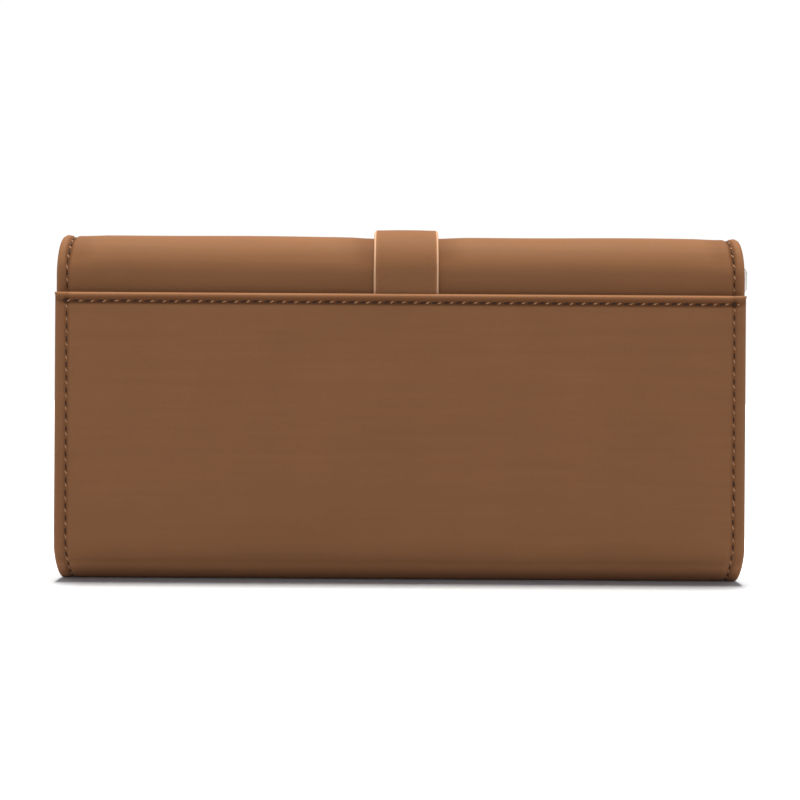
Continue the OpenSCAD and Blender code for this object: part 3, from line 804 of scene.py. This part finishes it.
def flat(name, node, facing, material, slot, body="body", **more):
    """An upright flat sheet in place of a CAD node, facing +1 for +y or -1 for -y.
    Returns it, its path, the middle and half of its width, and its height."""
    low, high = box_mm(node)
    y_out = high[1] if facing > 0 else low[1]
    x = (low[0] + high[0]) / 2
    half = (high[0] - low[0]) / 2
    height = high[2] - low[2]
    path = Path([line((y_out, low[2]), (y_out, high[2]))], side=-facing)
    obj = sheet(name, path, 0, height, half, 0, high[1] - low[1], material, x=x, **more)
    fit(obj, slot, body, node)
    return obj, path, x, half, height


def front_inside():
    """Board and lining of the front wall, and the lining of the base."""
    flat("front_stiffener", "front_board", 1, BOARD_MAT, "board", step=6, mid_step=16)
    lining, _, _, half, height = flat("front_lining_cloth", "front_lining", 1, LINING_MAT,
                                      "lining", step=3, mid_step=10)
    low, high = box_mm("base_lining")
    back_z = BASE_BACK_R - BASE_FLAT
    start = POCKET_TOP - back_z + BASE_BACK_R * math.acos((BASE_BACK_R + PANEL_LOW[1] - low[1])
                                                          / BASE_BACK_R)
    end = PANEL.length - (FRONT_TOP - high[2])
    lining = sheet("base_lining_cloth", PANEL, start, end, high[0], -LEATHER, LINING, LINING_MAT,
                   step=1.2, mid_step=10)
    fit(lining, "lining", "body", "base_lining")


def base_height(y, inset):
    """Height of the surface that lies inset from the outer face of the base, at depth y."""
    back_y = PANEL_LOW[1] + BASE_BACK_R
    front_y = FRONT_Y - BASE_FRONT_R
    back = np.sqrt(np.maximum((BASE_BACK_R - inset) ** 2 - np.minimum(y - back_y, 0) ** 2, 0))
    front = np.sqrt(np.maximum((BASE_FRONT_R - inset) ** 2 - np.maximum(y - front_y, 0) ** 2, 0))
    from_back = BASE_BACK_R - BASE_FLAT - back
    from_front = BASE_FRONT_R - BASE_FRONT_FLAT - front
    return np.maximum(np.maximum(from_back, from_front), inset)


def gusset(name):
    """A V-fold gusset: two leaves and a rounded inner fold, glued on at two flanges."""
    low, high = box_mm(name)
    side = 1 if high[0] > 0 else -1
    outer = max(abs(low[0]), abs(high[0]))
    apex = min(abs(low[0]), abs(high[0]))
    t = LINING
    y0, y1 = low[1] + t / 2, high[1] - t / 2
    mid = (y0 + y1) / 2
    flange = outer - FLANGE
    u = np.linspace(0, 1, 16)[1:]
    reach = flange - apex - t
    leaf = np.stack([flange - reach * np.sin(u * math.pi / 2) ** 0.9,
                     y0 + (mid - y0) * (1 - np.cos(u * math.pi / 2))], 1)
    half_plan = np.vstack([line((outer, y0), (flange, y0), 0.6), leaf])
    mirror = half_plan[::-1] * [1, -1] + [0, 2 * mid]
    plan = Path([half_plan, mirror[1:]])
    s = np.linspace(0, plan.length, 72)
    p, n = plan.at(s)
    z = np.r_[np.linspace(low[2], high[2] - 1.5, 30), high[2] - np.array([1.0, 0.6, 0.3, 0.12, 0])]
    verts = []
    for sign in (1, -1):
        for zz in z:
            lip = math.sqrt(max(0.0, 1 - max(0.0, 1 - (high[2] - zz) / (t / 2)) ** 2))
            soft = 0.25 * np.sin(zz / 9 + s / 4)
            q = p + n * (sign * t / 2 * lip)
            y = q[:, 1] + soft * np.exp(-((s - plan.length / 2) / 6) ** 2)
            lowest = base_height(y, LEATHER + LINING + 0.1)
            verts.append(np.stack([side * q[:, 0], y, np.maximum(lowest, zz)], 1))
    verts = np.vstack(verts)
    nz, ns = len(z), len(s)
    index, faces = two_faces(nz, ns)
    for k in range(nz - 1):
        for c in (0, ns - 1):
            faces.append([index[k, c], index[k + 1, c], index[k + 1, c] + nz * ns,
                          index[k, c] + nz * ns])
    faces += [[index[0, k], index[0, k + 1], index[0, k + 1] + nz * ns, index[0, k] + nz * ns]
              for k in range(ns - 1)]
    obj = make_mesh(f"{name}_fold", verts, faces, [LINING_MAT])
    fit(obj, "lining", "body", name)


def pouch():
    """The zipped coin pouch: its walls, floor, side seams and top band, and the zip's tabs."""
    wall, _, _, half, height = flat("pouch_back_cloth", "pouch_back_wall", -1, LINING_MAT,
                                    "lining", step=4, mid_step=12)
    hem = [(0, 0), (0.8, 0.1), (2, -0.12), (3, 0)]
    front_low, front_high = box_mm("pouch_front_wall")
    hem_s = front_high[2] - front_low[2]
    _, path, _, half, height = flat("pouch_front_leather", "pouch_front_wall", 1, SLOT_MAT,
                                    "leather", step=2, mid_step=6,
                                    relief=lambda x, s, d: profile(hem_s - s, hem))
    run = Path([line((-half + 3, height - 2), (half - 3, height - 2))])
    seam = stitches("pouch_front_seam", path, run, -0.12, SEAM_MATS, scale=0.8)
    fit(seam, "leather", "body")
    low, high = box_mm("pouch_floor")
    floor_path = Path([line((low[1], low[2]), (high[1], low[2]))], side=-1)
    floor = sheet("pouch_floor_cloth", floor_path, 0, high[1] - low[1], high[0], 0,
                  high[2] - low[2], LINING_MAT, step=0.8, mid_step=14)
    fit(floor, "lining", "body", "pouch_floor")
    for side in ("left", "right"):
        pouch_side(side)
    top_band()
    for side in ("left", "right"):
        node = f"zip_end_tab_{side}"
        flat(f"{node}_leather", node, 1, SLOT_MAT, "leather", step=0.8, mid_step=1)


def pouch_side(side):
    """The seam that closes one end of the pouch: cloth pinched flat between the walls."""
    node = f"pouch_side_{side}"
    low, high = box_mm(node)
    sign = 1 if side == "right" else -1
    outer = max(abs(low[0]), abs(high[0]))
    inner = min(abs(low[0]), abs(high[0]))
    ys = np.linspace(low[1], high[1], 14)
    zs = np.linspace(low[2], high[2], 60)
    dip = 0.35 * np.sin(np.linspace(0, math.pi, len(ys)))
    yy, zz = np.meshgrid(ys, zs)
    ripple = 0.08 * np.sin(zz / 2.2)
    verts = np.vstack([
        np.stack([sign * (outer - dip[None, :] - ripple).ravel(), yy.ravel(), zz.ravel()], 1),
        np.stack([sign * (inner + 0 * yy).ravel(), yy.ravel(), zz.ravel()], 1)])
    nz, ny = zz.shape
    index, faces = two_faces(nz, ny)
    rim = list(index[0]) + list(index[1:, -1]) + list(index[-1, -2::-1]) + list(index[-2:0:-1, 0])
    faces += [[a, b, b + nz * ny, a + nz * ny] for a, b in zip(rim, rim[1:] + rim[:1])]
    obj = make_mesh(f"{node}_cloth", verts, faces, [LINING_MAT])
    fit(obj, "lining", "body", node)


def top_band():
    """Leather folded over the pouch's top and down to the zip."""
    low, high = box_mm("pouch_top_band")
    t = 0.8
    r = 0.9
    path = Path([
        line((low[1], high[2]), (high[1] - r, high[2]), 0.4),
        arc((high[1] - r, high[2] - r), r, 90, 0, 8),
        line((high[1], high[2] - r), (high[1], low[2]), 0.2),
    ])
    obj = sheet("pouch_top_leather", path, 0, path.length, high[0], 0, t, SLOT_MAT, step=0.35,
                mid_step=8)
    fit(obj, "leather", "body", "pouch_top_band")


def slot_relief(x, s, d):
    """The creased edge of a card slot, and its slow unevenness."""
    knots = [(0, 0), (0.5, 0.06), (1.6, -0.1), (2.4, 0.03), (4, 0)]
    return profile(s, knots) + 0.04 * np.sin(x / 14) * smooth(s / 6)


def card_slots():
    """Two columns of card slots on the flap, each a leather panel with a creased edge."""
    for side in ("left", "right"):
        for tier in (1, 2, 3):
            node = f"card_slot_{side}_{tier}"
            _, path, x, half, _ = flat(f"{node}_leather", node, -1, SLOT_MAT, "leather",
                                       body="flap", step=2, mid_step=5, corner=(1.5, 0),
                                       relief=slot_relief)
            run = Path([line((-half + 2, 1.6), (half - 2, 1.6))])
            seam = stitches(f"{node}_seam", path, run, -0.08, SEAM_MATS, x=x, pitch=FINE_PITCH,
                            scale=0.6)
            fit(seam, "leather", "flap")


# ---- zip ----

def zip_tapes():
    """The two woven tapes of the zip, with a corded edge beside the chain."""
    for which, sign in (("lower", -1), ("upper", 1)):
        node = f"zip_tape_{which}"
        low, high = box_mm(node)
        cord = high[2] - low[2] - 0.6 if sign < 0 else 0.6
        flat(f"{node}_cloth", node, 1, TAPE_MAT, "zip_tape", step=0.4, mid_step=6,
             relief=lambda x, s, d: 0.18 * np.exp(-((s - cord) / 0.35) ** 2))


def chain():
    """Two rows of interlocking metal teeth along the middle of the zip."""
    low, high = box_mm("zip_chain_lower")
    _, up_high = box_mm("zip_chain_upper")
    mid_z = (low[2] + up_high[2]) / 2
    y = (low[1] + high[1]) / 2
    depth = (high[1] - low[1]) / 2
    reach = (up_high[2] - low[2]) / 2
    count = int((high[0] - low[0] - TOOTH_PITCH) / (2 * TOOTH_PITCH))
    for node, sign, shift in (("zip_chain_lower", -1, 0.0), ("zip_chain_upper", 1, TOOTH_PITCH)):
        verts, faces = [], []
        for k in range(count):
            x = low[0] + TOOTH_PITCH * (1 + 2 * k) + shift
            tooth_v, tooth_f = tooth(x, y, mid_z, sign, depth, reach)
            faces += [[i + sum(map(len, verts)) for i in f] for f in tooth_f]
            verts.append(tooth_v)
        obj = make_mesh(f"{node}_teeth", np.vstack(verts), faces, [METAL_MAT], sharp=30)
        fit(obj, "metal", "body", node)


def tooth(x, y, mid_z, sign, depth, reach):
    """One tooth: a chamfered leg that clamps the tape and a narrower head past the middle."""
    outline = [(-0.9, -reach), (0.9, -reach), (0.98, -reach + 0.25), (0.98, -0.35),
               (0.5, -0.1), (0.62, 0.25), (0.45, 0.55), (-0.45, 0.55), (-0.62, 0.25),
               (-0.5, -0.1), (-0.98, -0.35), (-0.98, -reach + 0.25)]
    k = TOOTH_PITCH / 2 / 1.02
    rings = ((-depth, 0.8), (-depth + 0.22, 1.0), (depth - 0.22, 1.0), (depth, 0.8))
    verts = [(x + px * k * f, y + dy, mid_z + sign * -(pz * f if pz > 0 else pz))
             for dy, f in rings for px, pz in outline]
    n = len(outline)
    faces = [[r * n + i, r * n + (i + 1) % n, (r + 1) * n + (i + 1) % n, (r + 1) * n + i]
             for r in range(len(rings) - 1) for i in range(n)]
    faces += [list(range(n)), [3 * n + i for i in range(n)][::-1]]
    return np.array(verts), faces


def bevelled(name, node, body):
    """A metal CAD node's shape with its hard edges rounded over, in place of the node."""
    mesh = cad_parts[node].data.copy()
    mesh.name = name
    mesh.materials.clear()
    mesh.materials.append(METAL_MAT)
    bm = bmesh.new()
    bm.from_mesh(mesh)
    bmesh.ops.remove_doubles(bm, verts=bm.verts, dist=1e-7)
    bmesh.ops.dissolve_limit(bm, angle_limit=math.radians(1), verts=bm.verts, edges=bm.edges)
    hard = [e for e in bm.edges
            if len(e.link_faces) == 2 and e.calc_face_angle(0) > math.radians(35)]
    bmesh.ops.bevel(bm, geom=hard, offset=BEVEL * MM, segments=3, affect="EDGES", profile=0.5,
                    clamp_overlap=True)
    bm.to_mesh(mesh)
    bm.free()
    fit(put_smooth(name, mesh, 38), "metal", body, node)


# ---- snap ----

def lathe(name, node, body, outline, *easing):
    """A turned part on the snap's axis. outline(r, y0, y1) gives its (radius, y) points from
    the node's radius and its ends in y."""
    low, high = box_mm(node)
    profile_pts = rounded(outline((high[0] - low[0]) / 2, low[1], high[1]), *easing)
    n = 64
    a = np.linspace(0, 2 * math.pi, n, endpoint=False)
    verts, faces = [], []
    for r, y in profile_pts:
        verts += [(STRAP_X + r * math.cos(t), y, SNAP_Z + r * math.sin(t)) for t in a]
    for i in range(len(profile_pts) - 1):
        for k in range(n):
            m = (k + 1) % n
            faces.append((i * n + k, i * n + m, (i + 1) * n + m, (i + 1) * n + k))
    obj = make_mesh(name, np.array(verts), faces, [METAL_MAT], sharp=35)
    fit(obj, "metal", body, node)


def rounded(points, r=0.12, n=4):
    """A profile with its corners eased by a short curve."""
    out = [points[0]]
    for a, b, c in zip(points, points[1:], points[2:]):
        a, b, c = map(np.array, (a, b, c))
        u, v = a - b, c - b
        cut = min(r, 0.45 * np.linalg.norm(u), 0.45 * np.linalg.norm(v))
        p, q = b + u / np.linalg.norm(u) * cut, b + v / np.linalg.norm(v) * cut
        for t in np.linspace(0, 1, n):
            out.append(tuple((1 - t) ** 2 * p + 2 * t * (1 - t) * b + t * t * q))
    return out + [points[-1]]


def snap():
    """Cap and socket on the strap, stud and post on the front wall."""
    face = STRAP_FACE_Y
    lathe("snap_cap_dome", "snap_cap", "strap", lambda r, y0, y1: [
        (0.0, y1), (r * 0.3, y1 - 0.07), (r * 0.55, y1 - 0.28), (r * 0.72, y1 - 0.52),
        (r * 0.78, y1 - 0.72), (r * 0.84, y1 - 0.66), (r * 0.95, y1 - 0.85), (r, y1 - 1.12),
        (r, face + 0.04), (1.2, face + 0.02), (1.2, y0), (0.0, y0)], 0.25, 5)
    bore = 2.7
    lathe("snap_socket_ring", "snap_socket", "strap", lambda r, y0, y1: [
        (0.0, y1 - 0.3), (bore, y1 - 0.3), (bore, y0 + 0.5), (bore + 0.35, y0),
        (bore + 0.9, y0 + 0.25), (r * 0.8, y0 + 0.35), (r, y0 + 0.9), (r, y1), (0.0, y1)])
    lathe("snap_stud_button", "snap_stud", "body", lambda r, y0, y1: [
        (0.0, y1), (1.7, y1), (2.2, y1 - 0.35), (2.2, y1 - 0.6), (1.9, y1 - 0.8),
        (1.9, y0 + 0.8), (2.3, y0 + 0.5), (r * 0.85, y0 + 0.42), (r, y0 + 0.25), (r, y0),
        (0.0, y0)])
    lathe("snap_post_rivet", "snap_post", "body", lambda r, y0, y1: [
        (0.0, y0), (r * 0.7, y0), (r, y0 + 0.25), (r, y0 + 0.5), (1.4, y0 + 0.5), (1.4, y1),
        (0.0, y1)])


# ---- strap ----

STRAP_FACE_Y = box_mm("snap_socket")[1][1] + STRAP_T
STRAP_BACK_Y = ROLL_Y - STRAP_R
STRAP_FRONT_Y = ROLL_Y + STRAP_R
ANCHOR_BOTTOM = box_mm("strap_anchor")[0][2]
STEP_TOP, STEP_DROP = FLAP_BOTTOM - 0.6, 4.1
STRAP = Path([
    line((STRAP_BACK_Y, ANCHOR_BOTTOM), (STRAP_BACK_Y, ROLL_Z)),
    arc((ROLL_Y, ROLL_Z), STRAP_R, 180, 0),
    line((STRAP_FRONT_Y, ROLL_Z), (STRAP_FRONT_Y, STEP_TOP)),
    ease((STRAP_FRONT_Y, STEP_TOP), (STRAP_FACE_Y, STEP_TOP - STEP_DROP)),
    line((STRAP_FACE_Y, STEP_TOP - STEP_DROP), (STRAP_FACE_Y, STRAP_LOW[2])),
])


def strap_s(angle):
    """Length along STRAP at an angle of the roll."""
    return ROLL_Z - ANCHOR_BOTTOM + STRAP_R * math.radians(180 - angle)


LIFT_SPLIT_Z = 81.5
LIFT = ("flap", "strap", (0, STRAP_FRONT_Y * MM, LIFT_HIGH * MM),
        (0, STRAP_FRONT_Y * MM, LIFT_LOW * MM))


def strap_relief(x, s, d):
    """A slightly crowned face that rises away from the painted edge, with slow unevenness."""
    crown = 0.1 * smooth((d - 1) / 6)
    return crown + 0.025 * np.sin(s / 6.5 + x / 9)


def strap():
    """The strap in four stretches, one across each fold."""
    rear, front = strap_s(REAR_CUT), strap_s(FRONT_CUT)
    split = strap_s(0) + ROLL_Z - LIFT_SPLIT_Z
    spans = (
        ("strap_sewn_end", 0, rear, (True, False), 0, REAR, ("strap_anchor",)),
        ("strap_crown", rear, front, (False, False), 0, TOP,
         ("strap_over_rear", "strap_over_front")),
        ("strap_front", front, split, (False, False), 0, FRONT, ("strap_on_flap",)),
        ("strap_free_end", split, STRAP.length, (False, True), STRAP_HALF, LIFT,
         ("strap_tongue",)),
    )
    for name, s0, s1, free, r, fold, nodes in spans:
        obj = sheet(name, STRAP, s0, s1, STRAP_HALF, 0, STRAP_T, STRAP_MAT, x=STRAP_X,
                    free=free, corner=(0, r), step=0.8, mid_step=1.2, relief=strap_relief)
        bend(obj, "strap_leather", fold, *nodes)
    seam_s = split - 1.2
    run = Path([line((-STRAP_HALF + 2.2, seam_s), (STRAP_HALF - 2.2, seam_s))])
    seam = stitches("strap_hold_seam", STRAP, run, 0.03, SEAM_MATS, x=STRAP_X,
                    pitch=FINE_PITCH, scale=0.85)
    bend(seam, "strap_leather", FRONT)


# ---- stage, light and camera ----

CAMERA_AT = (0.0, -0.404, 0.0504)    # in metres
CAMERA_LENS = 63.9
CAMERA_ROLL = 0.36                   # the slight lean in the photograph, in degrees


def stage():
    """A plain pale floor, a hair under the base so that the two faces never coincide."""
    mesh = bpy.data.meshes.new("stage_floor")
    level = -0.2 * MM
    size = 30.0
    corners = [(-size, -size, level), (size, -size, level), (size, size, level),
               (-size, size, level)]
    mesh.from_pydata(corners, [], [(0, 1, 2, 3)])
    floor = put("stage_floor", mesh)
    sh = Shader("pale_floor")
    noise = sh.add("TexNoise", Scale=3.0).outputs["Fac"]
    sh.set(Base_Color=sh.mix("MIX", noise, (0.525, 0.545, 0.6), (0.545, 0.565, 0.62)),
           Roughness=0.9, Specular_IOR_Level=0.1)
    mesh.materials.append(sh.mat)


def sun_light(name, tilt, power, spread, colour=(1, 1, 1)):
    """A broad far light; tilt is in degrees from straight down, towards the viewer's side."""
    data = bpy.data.lights.new(name, "SUN")
    data.energy = power
    data.color = colour
    data.angle = math.radians(spread)
    put(name, data).rotation_euler = (math.radians(tilt), 0, 0)


def lights():
    """Soft lights overhead and behind the viewer, and a surround dimmer on the viewer's side."""
    world = bpy.data.worlds.new("surround")
    world.use_nodes = True
    nt = world.node_tree
    back = nt.nodes["Background"]
    coord = nt.nodes.new("ShaderNodeTexCoord")
    split = nt.nodes.new("ShaderNodeSeparateXYZ")
    shade = nt.nodes.new("ShaderNodeMapRange")
    shade.interpolation_type = "SMOOTHSTEP"
    for socket, value in zip(shade.inputs[1:5], (-0.5, 0.6, 0.12, 1.02)):
        socket.default_value = value
    nt.links.new(coord.outputs["Generated"], split.inputs[0])
    nt.links.new(split.outputs["Y"], shade.inputs[0])
    nt.links.new(shade.outputs[0], back.inputs["Strength"])
    back.inputs["Color"].default_value = (1, 1, 1, 1)
    bpy.context.scene.world = world
    sun_light("overhead", -5, 7.6, 16, (1, 0.96, 0.84))
    sun_light("front", 78, 1.25, 50)
    bpy.context.scene.view_settings.view_transform = "Standard"


def camera():
    """Looks straight at the back, as the photograph does."""
    data = bpy.data.cameras.new("camera")
    data.sensor_width = 36
    data.lens = CAMERA_LENS
    data.clip_start = 0.01
    obj = put("camera", data)
    obj.location = CAMERA_AT
    roll = Matrix.Rotation(math.radians(CAMERA_ROLL), 3, "Z")
    obj.rotation_euler = (Matrix.Rotation(math.pi / 2, 3, "X") @ roll).to_euler()
    bpy.context.scene.camera = obj


camera()
lights()
stage()
shell_layers()
shell_stitches()
outer_panel()
front_inside()
for gusset_name in ("gusset_rear_left", "gusset_rear_right",
                    "gusset_front_left", "gusset_front_right"):
    gusset(gusset_name)
pouch()
card_slots()
zip_tapes()
chain()
bevelled("zip_stop_blocks", "zip_stops", "body")
bevelled("zip_slider_body", "zip_slider", "slider")
bevelled("zip_puller_tab", "zip_puller", "puller")
strap()
snap()
